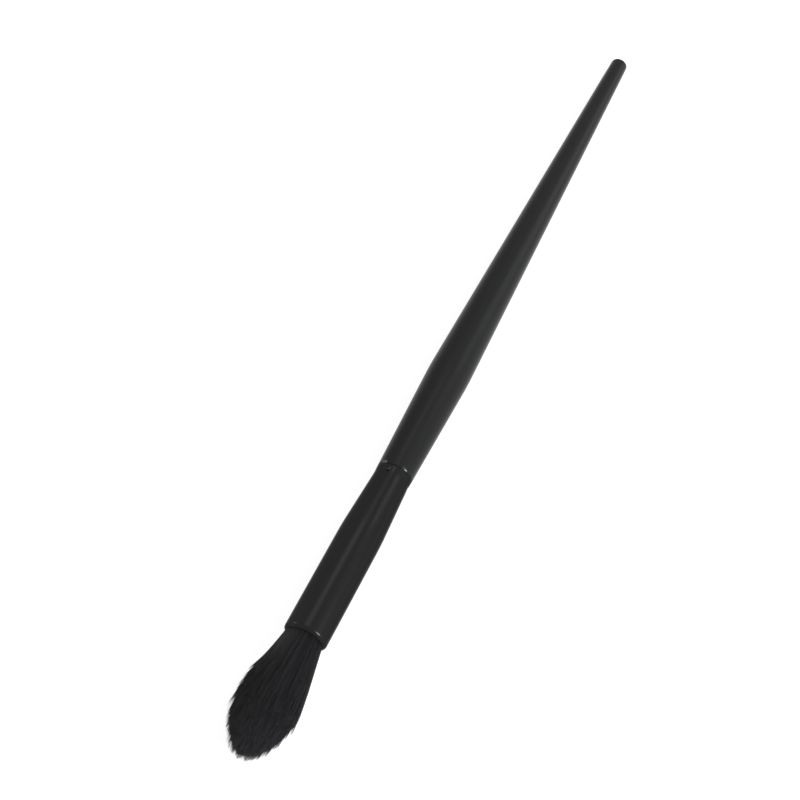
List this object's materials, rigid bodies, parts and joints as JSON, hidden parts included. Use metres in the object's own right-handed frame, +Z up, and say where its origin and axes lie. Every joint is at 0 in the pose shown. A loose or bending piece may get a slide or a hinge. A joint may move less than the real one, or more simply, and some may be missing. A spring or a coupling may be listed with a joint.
{
  "type": "nose contour brush",
  "caption": "Slim cosmetic brush with a candle-flame head of black hair, a black swaged metal ferrule and a long tapered black handle, lying on its side.",
  "frame": {"origin": "on the table, under the middle of the lying brush's length and under its axis", "axes": "+X runs along the brush towards the hair, +Z is up, and the brush lies on its side with the hair's belly and the handle's swell on the table"},
  "size_m": [0.1808, 0.0108, 0.0107],
  "materials": {
    "hair": "matte black synthetic filaments",
    "ferrule": "satin black anodised",
    "handle": "satin black lacquer",
    "thread": "waxed cotton",
    "epoxy": "set epoxy",
    "glue": "set glue"
  },
  "bodies": {
    "root": {"hair_bundle": "hair", "ferrule": "ferrule", "handle": "handle", "knot_thread": "thread", "root_glue": "epoxy", "tenon_glue": "glue"}
  },
  "joints": []
}
